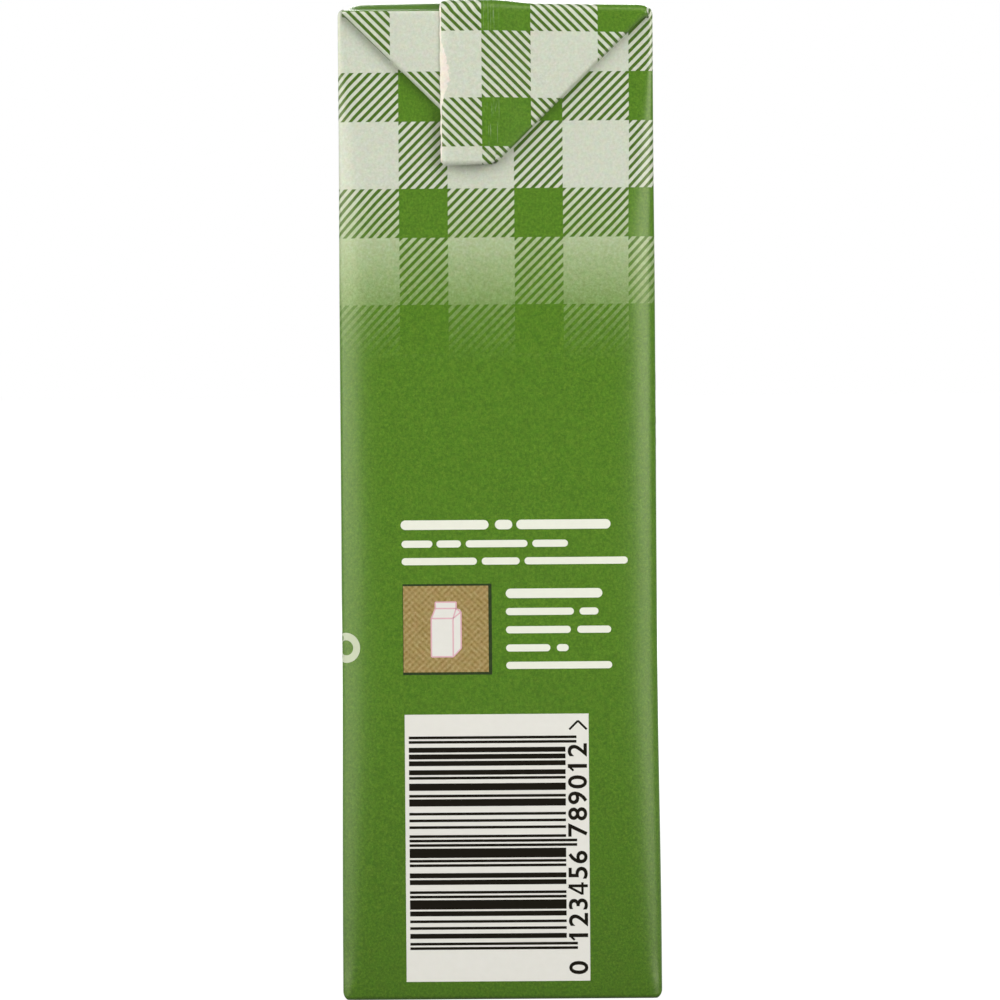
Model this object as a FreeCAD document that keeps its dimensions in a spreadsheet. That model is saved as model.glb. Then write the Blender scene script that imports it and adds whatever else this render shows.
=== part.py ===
# Brick-shaped carton of cooking sauce, filled and sealed.
# A sleeve of coated board is closed by a flat seal at each end. The top seal's fin is folded down along the
# middle of the roof, and the roof's two corner ears are folded down and stuck to the narrow sides. The bottom
# ears are folded under, so the carton stands on them. It can't be opened without cutting, so it is one solid.
# Frame: +Z up, the origin under the middle of the foot, a narrow side facing -Y, the wide panels facing X.
import FreeCAD, Part
import os

import Sketcher

document = FreeCAD.newDocument("sauce_carton")


# ---------------------------------------------------------------- driving dimensions, in millimetres

DRIVING = (
    ("side_width", "40.0", "narrow side, from wide panel to wide panel"),
    ("panel_width", "61.6", "wide panel, from narrow side to narrow side"),
    ("crease_height", "125.1", "foot to the crease where roof and narrow side meet"),
    ("corner_radius", "1.6", "upright corners"),
    ("foot_radius", "0.9", "rounding where the walls turn under the foot"),
    ("roof_radius", "0.8", "rounding where the walls turn into the roof"),
    ("roof_rise", "0.9", "how far the roof's middle stands above the crease"),
    ("roof_slope", "7.0", "width of the sloping band round the raised roof"),
    ("ear_thickness", "0.8", "double board of a folded ear"),
    ("ear_inset", "0.7", "ear's corner to the outside of the upright corner"),
    ("fin_width", "6.9", "seal fin, from its fold to its raw edge"),
    ("fin_thickness", "0.45", "seal fin"),
    ("base_recess", "0.8", "double board of the ears folded under the foot"),
)

sizes = document.addObject("Spreadsheet::Sheet", "Sizes")
for row, (alias, value, note) in enumerate(DRIVING, start=1):
    sizes.set(f"A{row}", note)
    sizes.set(f"B{row}", value)
    sizes.setAlias(f"B{row}", alias)
document.recompute()


# ---------------------------------------------------------------- sketches bound to the sheet

def sketch_on(body, name, role, height=None):
    """A sketch on one of a body's origin planes, raised along its normal by the sheet expression `height`."""
    sketch = body.newObject("Sketcher::SketchObject", name)
    plane = next(feature for feature in body.Origin.OriginFeatures if feature.Role == role)
    sketch.AttachmentSupport = (plane, "")
    sketch.MapMode = "FlatFace"
    if height is not None:
        sketch.setExpression("AttachmentOffset.Base.z", height)
    return sketch


def value_of(expression):
    """What a sheet expression is worth now, as a start for the sketch solver."""
    found = sizes.evalExpression(expression)
    return float(getattr(found, "Value", found))


def outline(sketch, corners):
    """A closed outline of straight edges, each corner kept at a pair of sheet expressions."""
    points = [FreeCAD.Vector(value_of(across), value_of(up), 0) for across, up in corners]
    for start, end in zip(points, points[1:] + points[:1]):
        sketch.addGeometry(Part.LineSegment(start, end), False)
    for edge in range(len(corners)):
        following = (edge + 1) % len(corners)
        sketch.addConstraint(Sketcher.Constraint("Coincident", edge, 2, following, 1))
    for edge, corner in enumerate(corners):
        for kind, expression in zip(("DistanceX", "DistanceY"), corner):
            held = Sketcher.Constraint(kind, edge, 1, value_of(expression))
            index = sketch.addConstraint(held)
            sketch.setExpression(f"Constraints[{index}]", expression)


def walls_outline(sketch, inset):
    """The sleeve's four walls cut level, drawn in by `inset`."""
    half_side = f"(Sizes.side_width / 2 - {inset})"
    half_panel = f"(Sizes.panel_width / 2 - {inset})"
    outline(
        sketch,
        (
            (half_side, f"-{half_panel}"),
            (half_side, half_panel),
            (f"-{half_side}", half_panel),
            (f"-{half_side}", f"-{half_panel}"),
        ),
    )


# ---------------------------------------------------------------- the filled sleeve

def edges_where(shape, test):
    """Names of the edges that pass a test."""
    return [f"Edge{number}" for number, edge in enumerate(shape.Edges, start=1) if test(edge)]


def level_at(height):
    """A test for edges that lie level at a height."""
    return lambda edge: max(abs(vertex.Z - height) for vertex in edge.Vertexes) < 1e-4


def upright(edge):
    """A test for edges that stand upright."""
    start, end = edge.Vertexes
    return abs(start.X - end.X) + abs(start.Y - end.Y) < 1e-4


def rounded(body, name, base, test, radius):
    """A fillet on the edges that pass a test, its radius bound to the sheet."""
    fillet = body.newObject("PartDesign::Fillet", name)
    fillet.Base = (base, edges_where(base.Shape, test))
    fillet.setExpression("Radius", radius)
    document.recompute()
    return fillet


def padded(body, name, profile, length, side="One side", reverse=False):
    """A pad of a sketch, its length bound to the sheet."""
    document.recompute()
    pad = body.newObject("PartDesign::Pad", name)
    pad.Profile = profile
    pad.SideType = side
    pad.Reversed = reverse
    pad.setExpression("Length", length)
    document.recompute()
    return pad


sleeve = document.addObject("PartDesign::Body", "Sleeve")
walls = sketch_on(sleeve, "Walls", "XY_Plane")
walls_outline(walls, "0")
block = padded(sleeve, "Filled", walls, "Sizes.crease_height")
corners = rounded(sleeve, "UprightCorners", block, upright, "Sizes.corner_radius")
foot_turn = rounded(sleeve, "FootTurn", corners, level_at(0), "Sizes.foot_radius")
roof_turn = rounded(sleeve, "RoofTurn", foot_turn, level_at(sizes.crease_height), "Sizes.roof_radius")

# The roof, which the filling raises a little.
roof_edge = sketch_on(sleeve, "RoofEdge", "XY_Plane", "Sizes.crease_height")
walls_outline(roof_edge, "Sizes.corner_radius")
roof_top = sketch_on(sleeve, "RoofTop", "XY_Plane", "Sizes.crease_height + Sizes.roof_rise")
walls_outline(roof_top, "Sizes.roof_slope")
document.recompute()
roof = sleeve.newObject("PartDesign::AdditiveLoft", "Roof")
roof.Profile = roof_edge
roof.Sections = [roof_top]
roof.Ruled = True
document.recompute()

# The foot: the two ears folded under it stand proud of the hollow on both sides of their slanting edges.
FOOT_TIP = "(Sizes.panel_width / 2 - Sizes.side_width / 2)"
between_ears = sketch_on(sleeve, "BetweenFootEars", "XY_Plane")
outline(
    between_ears,
    (
        ("-Sizes.side_width / 2", "-Sizes.panel_width / 2"),
        ("0", f"-{FOOT_TIP}"),
        ("Sizes.side_width / 2", "-Sizes.panel_width / 2"),
        ("Sizes.side_width / 2", "Sizes.panel_width / 2"),
        ("0", FOOT_TIP),
        ("-Sizes.side_width / 2", "Sizes.panel_width / 2"),
    ),
)
document.recompute()
foot_hollow = sleeve.newObject("PartDesign::Pocket", "FootHollow")
foot_hollow.Profile = between_ears
foot_hollow.Reversed = True
foot_hollow.setExpression("Length", "Sizes.base_recess")
document.recompute()
if foot_hollow.Shape.Volume >= roof.Shape.Volume:
    raise SystemExit("the hollow between the foot's ears cuts nothing")

# The foot's seal fin, folded flat. Its ends run under both ears.
foot_fin_outline = sketch_on(
    sleeve, "FootFinOutline", "XY_Plane", "Sizes.base_recess - Sizes.fin_thickness"
)
outline(
    foot_fin_outline,
    (
        ("-Sizes.fin_width", f"-{FOOT_TIP} - Sizes.fin_width"),
        ("0", f"-{FOOT_TIP} - Sizes.fin_width"),
        ("0", f"{FOOT_TIP} + Sizes.fin_width"),
        ("-Sizes.fin_width", f"{FOOT_TIP} + Sizes.fin_width"),
    ),
)
padded(sleeve, "FootFin", foot_fin_outline, "Sizes.fin_thickness + Sizes.base_recess")


# ---------------------------------------------------------------- the roof's ears, folded down both narrow sides

EAR_HALF = "(Sizes.side_width / 2 - Sizes.ear_inset)"
EAR_TIP = f"(Sizes.crease_height - {EAR_HALF})"
EAR_REACH = "(Sizes.panel_width / 2 + Sizes.ear_thickness)"

# A slab through the sleeve, as thick as both folded ears reach, with its bends at the roof rounded.
ear_slab = document.addObject("PartDesign::Body", "EarSlab")
slab_outline = sketch_on(ear_slab, "SlabOutline", "YZ_Plane")
outline(
    slab_outline,
    (
        (f"-{EAR_REACH}", EAR_TIP),
        (EAR_REACH, EAR_TIP),
        (EAR_REACH, "Sizes.crease_height"),
        (f"-{EAR_REACH}", "Sizes.crease_height"),
    ),
)
slab = padded(ear_slab, "Slab", slab_outline, f"2 * {EAR_HALF}", side="Symmetric")
ear_reach = value_of(EAR_REACH)


def at_ear_bend(edge):
    """A test for the outer edge where an ear leaves the roof."""
    outer = max(abs(abs(vertex.Y) - ear_reach) for vertex in edge.Vertexes) < 1e-4
    return outer and level_at(sizes.crease_height)(edge)


rounded(ear_slab, "EarBends", slab, at_ear_bend, "0.9 * Sizes.ear_thickness")

# The triangle that the two slanting folds leave of it.
ear_triangle = document.addObject("PartDesign::Body", "EarTriangle")
triangle_outline = sketch_on(ear_triangle, "TriangleOutline", "XZ_Plane")
outline(
    triangle_outline,
    (
        (f"-{EAR_HALF}", "Sizes.crease_height"),
        ("0", EAR_TIP),
        (EAR_HALF, "Sizes.crease_height"),
    ),
)
padded(ear_triangle, "Triangle", triangle_outline, f"2 * {EAR_REACH}", side="Symmetric")

ears = document.addObject("Part::MultiCommon", "Ears")
ears.Shapes = [ear_slab, ear_triangle]


# ---------------------------------------------------------------- the top fin, across the roof and down both ears

FIN_REACH = f"({EAR_REACH} + Sizes.fin_thickness)"
FIN_ROOF = "(Sizes.crease_height + Sizes.roof_rise + Sizes.fin_thickness)"
FIN_SLOPE = "(Sizes.panel_width / 2 - Sizes.roof_slope)"
FIN_BEND = "(Sizes.crease_height - Sizes.ear_thickness / 2)"

top_fin = document.addObject("PartDesign::Body", "TopFin")
fin_outline = sketch_on(top_fin, "FinOutline", "YZ_Plane")
outline(
    fin_outline,
    (
        (f"-{FIN_REACH}", EAR_TIP),
        (FIN_REACH, EAR_TIP),
        (FIN_REACH, FIN_BEND),
        ("Sizes.panel_width / 2", "Sizes.crease_height + Sizes.fin_thickness"),
        (FIN_SLOPE, FIN_ROOF),
        (f"-{FIN_SLOPE}", FIN_ROOF),
        ("-Sizes.panel_width / 2", "Sizes.crease_height + Sizes.fin_thickness"),
        (f"-{FIN_REACH}", FIN_BEND),
    ),
)
padded(top_fin, "Fin", fin_outline, "Sizes.fin_width", reverse=True)


# ---------------------------------------------------------------- the sealed carton, and its file

carton = document.addObject("Part::MultiFuse", "Carton")
carton.Label = "carton"
carton.Shapes = [sleeve, ears, top_fin]
carton.Placement = FreeCAD.Placement()
document.recompute()

for item in document.Objects:
    if "Invalid" in item.State or "Error" in item.State:
        raise SystemExit(f"{item.Label} could not be worked out: {item.State}")

shape = carton.Shape
if shape.isNull() or not shape.isValid() or len(shape.Solids) != 1:
    raise SystemExit(f"{carton.Label} is not one valid solid")

os.makedirs("parts", exist_ok=True)
shape.exportStep(f"parts/{carton.Label}.step")
box = shape.optimalBoundingBox(True, False)
print(f"{carton.Label}: {box.XLength:.2f} x {box.YLength:.2f} x {box.ZLength:.2f} mm")
print(f"{carton.Label}: z {box.ZMin:.3f} to {box.ZMax:.3f}, volume {shape.Volume / 1000:.1f} ml")
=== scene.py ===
import bmesh
import bpy
import mathutils
import numpy as np
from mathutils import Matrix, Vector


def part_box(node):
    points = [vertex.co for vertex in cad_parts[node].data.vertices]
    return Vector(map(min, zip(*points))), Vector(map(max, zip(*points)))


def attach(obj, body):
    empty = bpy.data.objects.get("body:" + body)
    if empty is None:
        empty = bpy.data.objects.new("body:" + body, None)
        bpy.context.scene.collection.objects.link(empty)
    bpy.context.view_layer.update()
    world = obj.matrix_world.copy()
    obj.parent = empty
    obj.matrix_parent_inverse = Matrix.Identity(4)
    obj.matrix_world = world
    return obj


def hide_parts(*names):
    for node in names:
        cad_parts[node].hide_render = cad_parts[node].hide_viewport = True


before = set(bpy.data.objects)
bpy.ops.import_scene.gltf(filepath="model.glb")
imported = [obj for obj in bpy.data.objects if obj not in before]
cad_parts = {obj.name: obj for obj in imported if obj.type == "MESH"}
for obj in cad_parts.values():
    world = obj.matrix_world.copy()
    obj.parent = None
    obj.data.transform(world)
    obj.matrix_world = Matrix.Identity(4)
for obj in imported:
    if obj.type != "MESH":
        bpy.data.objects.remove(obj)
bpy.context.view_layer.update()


# ================ the filled sleeve
# Board coated with film and printed in one pass, bent round four creases, lapped and welded down the back,
# and filled with sauce. The filling swells the walls a little and raises the roof like a low tent, and the
# walls turn under into the foot.

# Lengths are in millimetres until a mesh is laid. s runs round the printed sheet from the middle of the -Y
# side, and heights start at the foot.
box_high = np.array(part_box("carton")[1]) * 1000
ear_board = 0.8
fin_board = 0.45
roof_rise = 0.9
half_side = box_high[0]
half_panel = box_high[1] - ear_board - fin_board
crease = box_high[2] - roof_rise - fin_board
loop = 4 * (half_side + half_panel)


def smooth(value):
    """A soft step from 0 to 1 while the value goes from 0 to 1."""
    share = np.clip(value, 0, 1)
    return share * share * (3 - 2 * share)


def by_half(pair, right):
    """The left half's value of a pair, blended into the right half's while right goes from 0 to 1."""
    return pair[0] + (pair[1] - pair[0]) * right


def folded_back(s):
    """How far a place on the sheet lies across its narrow side, from -half_side to half_side."""
    near = np.abs(s) < loop / 4
    return np.where(near, s, np.sign(s) * (loop / 2 - np.abs(s)))


# The upright corners: reach and depth where they are crisp, what is added where they are soft, and the runs
# over which they soften below the roof and above the foot.
crisp_across = 0.7
crisp_deep = 0.5
shoulder_across = 5.4
shoulder_deep = 1.75
crisp_head = 2.0
head_run = 32.0
foot_run = 5.0
foot_share = 0.25
low_start = -14.0
low_run = 60.0


def softness(height):
    """How soft the upright corners are: 0 near the roof, almost 1 at mid height, and less again towards the
    foot, as the sum of a slow step and a short one."""
    below_roof = smooth((crease - crisp_head - height) / head_run)
    slow = (1 - foot_share) * smooth((height - low_start) / low_run)
    return below_roof * (foot_share * smooth(height / foot_run) + slow)


def outline(s, height, out):
    """Level outline of the sleeve: an oblong whose corners are quarter ellipses, long across the narrow
    sides, so that each has a soft shoulder beside a crisp crease. The crease is where the ellipse faces 45
    degrees. Points are moved by out along the ellipse's normal, its offset over the square of its reach."""
    s = (s + loop / 2) % loop - loop / 2
    soft = softness(height)
    reach = crisp_across + shoulder_across * soft
    depth = crisp_deep + shoulder_deep * soft
    slant = np.hypot(reach, depth)
    across = np.abs(folded_back(s))
    along = np.abs(np.abs(s) - loop / 4) * (1 - (depth - depth**2 / slant) / half_panel)
    beyond_flat = np.maximum(across - half_side + reach, 0) * reach / slant
    turned = np.maximum(along - half_panel + depth, 0)
    narrow_x = np.minimum(across, half_side - reach) + beyond_flat
    narrow_y = half_panel - depth + depth * np.sqrt(1 - np.minimum(beyond_flat / reach, 1) ** 2)
    wide_x = half_side - reach + reach * np.sqrt(1 - np.minimum(turned / depth, 1) ** 2)
    x = np.where(across < half_side, narrow_x, wide_x)
    y = np.where(across < half_side, narrow_y, along)
    lean_x = np.maximum(x - half_side + reach, 0) / reach**2
    lean_y = np.maximum(y - half_panel + depth, 0) / depth**2
    lean = np.stack([lean_x, lean_y]) / np.hypot(lean_x, lean_y)
    flat = np.stack([x + lean[0] * out, y + lean[1] * out], -1)
    return flat * np.stack([np.sign(folded_back(s)), np.sign(np.abs(s) - loop / 4)], -1)


side_bulge = 0.12
panel_bulge = 0.38
flare = 0.27
flare_uneven = 0.09
flare_top = 46.0
flare_run = 40.0
waist = 0.08
head_tuck = 0.1
tuck_start = 85.0
tuck_run = 30.0
long_wave = 0.03
long_pitch = 9.1
short_wave = 0.02
short_pitch = 4.3
wave_margin = 4.0
seam_edge = half_side + half_panel + 16.0
seam_step = 0.04
lap_height = 0.32
lap_start = 13.0
lap_run = 6.0


def swell(s, height):
    """How far the wall stands out of the flat box: a parabola across each panel that dies away at its ends
    like a sine, a flare towards the foot, a slight draw-in towards the roof, slow waves, and the step of
    the seam."""
    s = (s + loop / 2) % loop - loop / 2
    to_crease = np.abs(np.abs(np.abs(s) - loop / 4) - half_panel)
    narrow = (np.abs(s) < half_side) | (np.abs(s) > half_side + 2 * half_panel)
    middle = np.where(narrow, folded_back(s) / half_side, (np.abs(s) - loop / 4) / half_panel)
    upright = np.sin(np.pi * np.clip(height / crease, 0, 1)) ** 0.7
    bulge = np.where(narrow, side_bulge, panel_bulge) * (1 - np.clip(middle, -1, 1) ** 2) * upright
    turn = s * 2 * np.pi / loop
    flared = (flare + flare_uneven * np.sin(turn)) * smooth((flare_top - height) / flare_run)
    drawn_in = waist + head_tuck * smooth((height - tuck_start) / tuck_run)
    waves = long_wave * np.sin(height / long_pitch + 2 * turn) * np.sin(5 * turn + 1.1)
    waves = waves + short_wave * np.sin(height / short_pitch - 3 * turn)
    lap = lap_height * smooth((s - seam_edge + lap_start) / lap_run) * (s < seam_edge - seam_step / 2)
    return bulge + flared - drawn_in + waves * smooth(to_crease / wave_margin) + lap


def wall(s, height, lift=0.0):
    """Points of the walls, moved out of the surface by lift."""
    height = height + 0 * s
    flat = outline(s, height, swell(s, height) + lift)
    return np.concatenate([flat, height[..., None]], -1)


# Of the roof, for its left half and its right half: how high the tent and the bend above an ear stand over
# the crease, how much they fall towards the long sides, and the runs to the bend and down to the sides.
tent_height = (roof_rise, 0.8)
tent_fall = (0.25, 0.23)
bend_height = (-0.2, 0.64)
bend_fall = (0.0, 0.36)
bend_run = (2.2, 5.4)
bend_done = 0.2
edge_start = (3.6, 2.0)
edge_run = (2.8, 1.8)
edge_drop = 0.6
edge_most = 1.15
weld_start = 5.4
weld_run = 6.2


def seal_rise(x):
    """How far the right half of the roof and its ears stand up over the weld, which they climb slowly."""
    return fin_board * smooth((weld_start - x) / weld_run)


def roof(x, y, right):
    """Height of the roof: a low tent along the seal. Towards the ends its left half drops below the crease,
    its right half hardly at all, because the ear bends over it there. It falls by a square law towards the
    long sides."""
    out = np.abs(x) / half_side
    tent = by_half(tent_height, right) - by_half(tent_fall, right) * out
    bend = by_half(bend_height, right) - by_half(bend_fall, right) * out
    run = by_half(bend_run, right)
    drop = smooth((np.abs(y) - half_panel + run + bend_done) / run)
    past_edge = np.abs(x) - half_side + by_half(edge_start, right)
    edge = edge_drop * np.clip(past_edge / by_half(edge_run, right), 0, edge_most) ** 2
    return crease + tent + (bend - tent) * drop - edge * (1 - drop * (1 - right))


def grid_faces(rows, columns, ring=False):
    """Corner numbers of the four-sided faces of a grid, closed round if it is a ring."""
    row, column = np.mgrid[0 : rows - 1, 0 : columns - (0 if ring else 1)]
    after = (column + 1) % columns
    below = [row * columns + column, row * columns + after]
    above = [(row + 1) * columns + after, (row + 1) * columns + column]
    return np.stack([corner.ravel() for corner in below + above], 1)


def placed(name, data):
    """An object that holds the data, put in the scene."""
    made = bpy.data.objects.new(name, data)
    bpy.context.collection.objects.link(made)
    return made


def lay(name, points, faces, sheet, materials):
    """A piece of the carton from points in millimetres, with places on the printed sheet for each corner of
    each face. Doubles are merged, so that poles and seams close, and it rides and is finished like the
    board."""
    mesh = bpy.data.meshes.new(name)
    mesh.from_pydata((points.reshape(-1, 3) * 0.001).tolist(), [], faces.tolist())
    mesh.uv_layers.new(name="sheet").data.foreach_set("uv", sheet.astype(np.float32).ravel())
    work = bmesh.new()
    work.from_mesh(mesh)
    bmesh.ops.remove_doubles(work, verts=work.verts, dist=1e-7)
    work.to_mesh(mesh)
    work.free()
    mesh.polygons.foreach_set("use_smooth", [True] * len(mesh.polygons))
    for material in materials:
        mesh.materials.append(material)
    piece = placed(name, mesh)
    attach(piece, "root")
    return piece


def feed(socket, value):
    """Sets a node's input to a number or a colour, or joins it to another node's output."""
    if isinstance(value, bpy.types.NodeSocket):
        value.id_data.links.new(value, socket)
    else:
        socket.default_value = value


def add_node(tree, kind, **inputs):
    """A shader node with its inputs fed. An input is given by its name, or by i and its number."""
    made = tree.nodes.new(kind)
    for name, value in inputs.items():
        feed(made.inputs[int(name[1:]) if name[1:].isdigit() else name], value)
    return made


def sums(operation, first, second=0.0, third=0.0):
    """One step of arithmetic on shader values, in the tree of the first one that comes from a node."""
    from_nodes = [value for value in (first, second, third) if isinstance(value, bpy.types.NodeSocket)]
    made = add_node(from_nodes[0].id_data, "ShaderNodeMath", i0=first, i1=second, i2=third)
    made.operation = operation
    return made.outputs[0]


def vector_sums(operation, first, second=(0.0,) * 3, third=(0.0,) * 3):
    """One step of arithmetic on vectors or colours: its vector and its value."""
    made = add_node(first.id_data, "ShaderNodeVectorMath", i0=first, i1=second, i2=third)
    made.operation = operation
    return made.outputs


def noise(place, scale, detail, roughness=0.5):
    """A shader's noise: its value and its colour."""
    numbers = {"Scale": scale, "Detail": detail, "Roughness": roughness}
    return add_node(place.id_data, "ShaderNodeTexNoise", Vector=place, **numbers).outputs


def held(value, low=0.0, high=1.0):
    """A shader value kept between two limits."""
    return sums("MINIMUM", sums("MAXIMUM", value, low), high)


def blended(share, under, over):
    """Two colours mixed, the second one by its share."""
    made = add_node(share.id_data, "ShaderNodeMix", i0=share)
    made.data_type = "RGBA"
    feed(made.inputs[6], under)
    feed(made.inputs[7], over)
    return made.outputs[2]


def on_sheet(tree):
    """The place on the printed sheet: the whole vector, how far round, and how far above the crease."""
    sheet = tree.nodes.new("ShaderNodeUVMap")
    sheet.uv_map = "sheet"
    place = add_node(tree, "ShaderNodeSeparateXYZ", Vector=sheet.outputs[0])
    return sheet.outputs[0], place.outputs[0], place.outputs[1]


def ink(red, green, blue):
    """A colour from its screen values, 0 to 255."""
    screen = np.array([red, green, blue]) / 255
    light = np.where(screen <= 0.04045, screen / 12.92, ((screen + 0.055) / 1.055) ** 2.4)
    return (*map(float, light), 1.0)


speckle_scale = 3000.0
mottle_scale = 1300.0
fibre_scale = 1700.0
fibre_height = 0.00004
yellow_gloss = (1.0, 1.0, 0.7, 1.0)


def filmed(name, paint, roughness=0.34, grain=0.16, gloss=0.58):
    """Print under a thin satin film: the paint's colour, raised to a power that a fine speckle varies, with
    a soft mottling of its hue, and a slightly yellow film that follows the paper's fibres and is not
    equally glossy."""
    material = bpy.data.materials.new(name)
    material.use_nodes = True
    tree = material.node_tree
    shader = tree.nodes["Principled BSDF"]
    place = tree.nodes.new("ShaderNodeTexCoord").outputs["Object"]
    speckle = noise(place, speckle_scale, 2.0, 0.85)
    mottle = noise(place, mottle_scale, 2.0)
    denser = sums("MULTIPLY_ADD", speckle[0], 5 * grain, 1 - 2.5 * grain)
    speckled = add_node(tree, "ShaderNodeGamma", Color=paint(tree), Gamma=denser)
    hue_most = (1.2 * grain,) * 3
    hue_least = (1 - 0.6 * grain,) * 3
    uneven = vector_sums("MULTIPLY_ADD", mottle[1], hue_most, hue_least)[0]
    printed = vector_sums("MULTIPLY", speckled.outputs[0], uneven)[0]
    feed(shader.inputs["Base Color"], printed)
    feed(shader.inputs["Specular IOR Level"], gloss)
    feed(shader.inputs["Specular Tint"], yellow_gloss)
    feed(shader.inputs["Roughness"], sums("MULTIPLY_ADD", mottle[0], 0.1, roughness - 0.05))
    fibres = noise(place, fibre_scale, 3.0)
    bump = add_node(tree, "ShaderNodeBump", Strength=0.25, Distance=fibre_height, Height=fibres[0])
    feed(shader.inputs["Normal"], bump.outputs[0])
    return material


leaf_green = ink(74, 117, 17)
stripe_green = ink(62, 97, 16)
check_pale = ink(198, 203, 185)
fading_pale = ink(212, 227, 168)
black = (0.0, 0.0, 0.0, 1.0)
check_across = loop / 14
check_up = 14.62
green_share = 0.423
first_pale = -20.65
first_green = 0.44
stripes_per_check = 12.5
stripe_start = 0.59
stripe_dark = 0.48
fade_top = -22.0
fade_bottom = -44.6
fade_power = 1.45
green_front = half_panel - 1.4
green_on_roof = half_panel + 0.1
# Painted shade towards the foot: the height it reaches up from the foot, and how much black is mixed in at
# the foot.
foot_shade_reach = 45.0
painted_foot_shade = 0.23


def checks(tree):
    """Gingham in two inks, laid out on the printed sheet: solid green where a green row meets a green
    column, slanting stripes where only one of them is green, and a fade to plain green lower down, by a
    power of the height. The front panel stays green. The green is darkened towards the foot: painted shade."""
    across, up = on_sheet(tree)[1:]
    column = sums("FRACT", sums("DIVIDE", sums("SUBTRACT", across, first_pale), check_across))
    row = sums("FRACT", sums("DIVIDE", sums("SUBTRACT", up, first_green), check_up))
    green_column = sums("GREATER_THAN", column, 1 - green_share)
    green_row = sums("LESS_THAN", row, green_share)
    slant = sums("SUBTRACT", column, row)
    stripe = sums("FRACT", sums("MULTIPLY_ADD", slant, stripes_per_check, stripe_start))
    from_middle = sums("ABSOLUTE", sums("SUBTRACT", stripe, 0.5))
    stripe = sums("LESS_THAN", from_middle, stripe_dark / 2)
    both = sums("MULTIPLY", green_column, green_row)
    either = sums("MAXIMUM", green_column, green_row)
    fade = sums("DIVIDE", sums("SUBTRACT", up, fade_bottom), fade_top - fade_bottom)
    fade = sums("POWER", held(fade), fade_power)
    from_front = sums("ABSOLUTE", sums("ADD", across, loop / 4))
    above_crease = sums("GREATER_THAN", up, 0.0)
    green_half = sums("MULTIPLY_ADD", above_crease, green_on_roof - green_front, green_front)
    shown = sums("MULTIPLY", fade, sums("GREATER_THAN", from_front, green_half))
    striped = sums("MULTIPLY", either, sums("SUBTRACT", 1.0, both))
    striped = sums("MULTIPLY", striped, stripe)
    pale = sums("SUBTRACT", 1.0, sums("MAXIMUM", both, striped))
    # Painted shade: the plain green is mixed with more black as the height falls below 45 mm, standing in
    # for light that falls off near the foot.
    low = held(sums("MULTIPLY_ADD", up, -1 / foot_shade_reach, 1 - crease / foot_shade_reach))
    green = blended(sums("MULTIPLY", low, painted_foot_shade), leaf_green, black)
    paling = blended(fade, fading_pale, check_pale)
    ground = blended(sums("MULTIPLY", shown, pale), green, paling)
    return blended(sums("MULTIPLY", shown, striped), ground, stripe_green)


def bare_paper(tree):
    """Bare paper where the board was cut, a little darker along its fibres."""
    fibre = noise(on_sheet(tree)[0], 2.4, 4.0)[0]
    return blended(fibre, ink(236, 234, 224), ink(208, 202, 186))


printed_board = filmed("printed_board", checks)
cut_paper = filmed("cut_paper", bare_paper, roughness=0.8)

foot_round = 0.6
foot_recess = 0.8
rim_run = 0.9
turned_in = -0.4
roof_round = 0.8
wall_rings = 62
foot_ring_shares = (0.0, 0.35, 0.7, 0.92)
roof_ring_shares = (1.0, 0.97, 0.94, 0.9, 0.86, 0.8, 0.72, 0.62, 0.5, 0.38, 0.26, 0.12, 0.0)
roof_print_share = 0.97
cut_from = 1.0


def sleeve_columns():
    """Places round the sheet, close together at the creases and shoulders and where the seam's lap rises,
    with one on each side of the seam's step and one at the middle of each narrow side."""
    crisp = [0, 0.08, 0.16, 0.26, 0.38, 0.5, 0.65, 0.8, 1, 1.25, 1.6, 2, 2.5]
    wider = [3.1, 3.8, 4.6, 5.5, 7, 9, 11.5, 14.5, 17]
    creases = np.array([-loop / 2 + half_side, -half_side, half_side, loop / 2 - half_side])
    beside = [(creases[:, None] + side * np.array(crisp + wider)).ravel() for side in (-1, 1)]
    panels = [side * loop / 4 + np.arange(-12, 13, 3.0) for side in (-1, 1)]
    lap_columns = seam_edge - np.arange(6.5, 13.6, 0.7)
    single = [-loop / 2, 0.0, seam_edge - seam_step, seam_edge]
    places = np.concatenate(beside + panels + [lap_columns, single])
    return np.unique(np.round((places + loop / 2) % loop - loop / 2, 3))


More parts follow.
